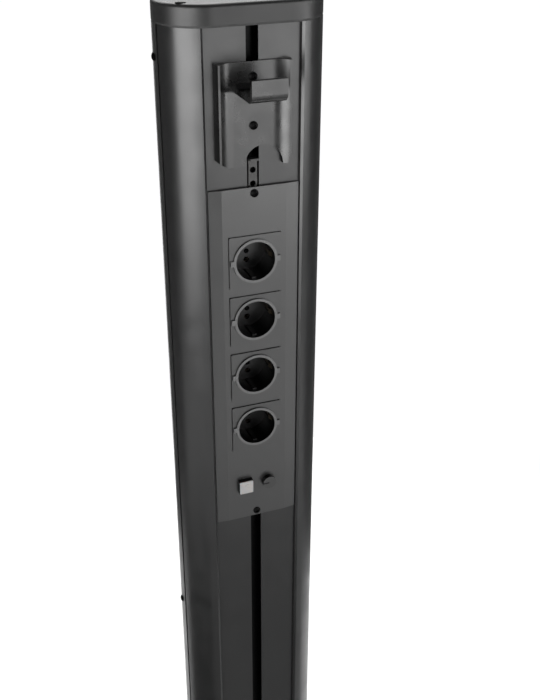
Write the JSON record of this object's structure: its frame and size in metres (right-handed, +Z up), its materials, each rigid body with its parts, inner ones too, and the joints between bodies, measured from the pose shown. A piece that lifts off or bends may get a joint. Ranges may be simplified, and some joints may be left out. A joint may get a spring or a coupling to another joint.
{
  "type": "ev charging post",
  "caption": "Slim dark charging post: obround column, channelled front with earthed sockets, push button, selector knob, cable cradle and rear service door.",
  "frame": {"origin": "centre of the base plate's underside", "axes": "+Z up; -Y is the front, where the socket panel faces; +X is to the right of someone who stands in front"},
  "size_m": [0.24, 0.21, 1.45],
  "materials": {
    "column_coat": "fine-texture satin powder coat on extruded aluminium, near black",
    "cap_plastic": "moulded, fine spark-eroded grain",
    "base_coat": "powder coat on steel plate",
    "panel_coat": "smooth satin powder coat on sheet steel",
    "door_coat": "fine-texture satin powder coat",
    "socket_plastic": "moulded anthracite thermoplastic, satin",
    "insulator": "moulded, plain",
    "contact_brass": "stamped, bright",
    "button_black": "moulded, satin",
    "button_white": "translucent-looking white lens, satin",
    "knob_plastic": "moulded, satin",
    "dark_screw": "black-oxide steel",
    "zinc_steel": "zinc-plated",
    "strip_steel": "galvanised, dull grey",
    "lock_metal": "nickel-plated, worn",
    "rubber": "black EPDM",
    "gland_plastic": "dark grey polyamide",
    "gear_plastic": "light grey moulded",
    "lever_plastic": "dark blue moulded",
    "test_plastic": "yellow moulded",
    "terminal_plastic": "grey polyamide",
    "cradle_plastic": "glass-filled polyamide, satin"
  },
  "bodies": {
    "post": {"base_plate": "base_coat", "base_screws": "zinc_steel", "breaker_body": "gear_plastic", "button_housing": "button_black", "button_nut": "button_black", "button_spring": "zinc_steel", "button_switch": "insulator", "cable_cradle": "cradle_plastic", "cable_gland": "gland_plastic", "cable_hook": "cradle_plastic", "cap_gasket": "rubber", "cap_screws": "dark_screw", "contact_sleeves_1": "contact_brass", "contact_sleeves_2": "contact_brass", "contact_sleeves_3": "contact_brass", "contact_sleeves_4": "contact_brass", "din_rail": "zinc_steel", "door_frame": "zinc_steel", "door_seal": "rubber", "earth_strap_1": "contact_brass", "earth_strap_2": "contact_brass", "earth_strap_3": "contact_brass", "earth_strap_4": "contact_brass", "earth_stud": "zinc_steel", "face_plate": "panel_coat", "foot_bolts": "zinc_steel", "foot_gasket": "rubber", "foot_spigot": "base_coat", "front_profile": "column_coat", "hinge_pins": "zinc_steel", "mounting_strip": "strip_steel", "rcd_body": "gear_plastic", "rear_cover": "column_coat", "rear_cover_screws": "dark_screw", "selector_switch": "insulator", "slot_nuts": "zinc_steel", "socket_base_1": "insulator", "socket_base_2": "insulator", "socket_base_3": "insulator", "socket_base_4": "insulator", "socket_cover_1": "socket_plastic", "socket_cover_2": "socket_plastic", "socket_cover_3": "socket_plastic", "socket_cover_4": "socket_plastic", "socket_screws": "dark_screw", "socket_tray": "zinc_steel", "terminal_block": "terminal_plastic", "top_cap": "cap_plastic", "track_screws": "dark_screw"},
    "button": {"button_cap": "button_white"},
    "knob": {"knob": "knob_plastic", "knob_spindle": "zinc_steel"},
    "door": {"service_door": "door_coat", "lock_housing": "lock_metal", "lock_nut": "zinc_steel"},
    "lock": {"lock_plug": "lock_metal", "lock_cam": "zinc_steel"},
    "rcd_lever": {"rcd_lever": "lever_plastic"},
    "rcd_test": {"rcd_test_button": "test_plastic"},
    "breaker_lever": {"breaker_lever": "lever_plastic"}
  },
  "joints": [
    {"name": "button_press", "type": "slide", "parent": "post", "child": "button", "axis": [0, 1, 0], "range_m": [0, 0.0024], "stiffness_N_per_m": 900, "springref_m": -0.002, "deforming": ["button_spring"]},
    {"name": "knob_turn", "type": "hinge", "parent": "post", "child": "knob", "pos_m": [0.0136, -0.0408, 0.9372], "axis": [0, 1, 0], "range_deg": [0, 90]},
    {"name": "door_swing", "type": "hinge", "parent": "post", "child": "door", "pos_m": [-0.0334, 0.0464, 0.56], "axis": [0, 0, 1], "range_deg": [0, 110]},
    {"name": "lock_turn", "type": "hinge", "parent": "door", "child": "lock", "pos_m": [0.018, 0.04, 0.652], "axis": [0, 1, 0], "range_deg": [0, 90]},
    {"name": "rcd_switch", "type": "hinge", "parent": "post", "child": "rcd_lever", "pos_m": [-0.017, 0.0276, 0.56], "axis": [1, 0, 0], "range_deg": [-60, 0]},
    {"name": "rcd_test_press", "type": "slide", "parent": "post", "child": "rcd_test", "axis": [0, -1, 0], "range_m": [0, 0.0012], "stiffness_N_per_m": 600, "springref_m": -0.001},
    {"name": "breaker_switch", "type": "hinge", "parent": "post", "child": "breaker_lever", "pos_m": [0.018, 0.0276, 0.56], "axis": [1, 0, 0], "range_deg": [-60, 0]}
  ]
}
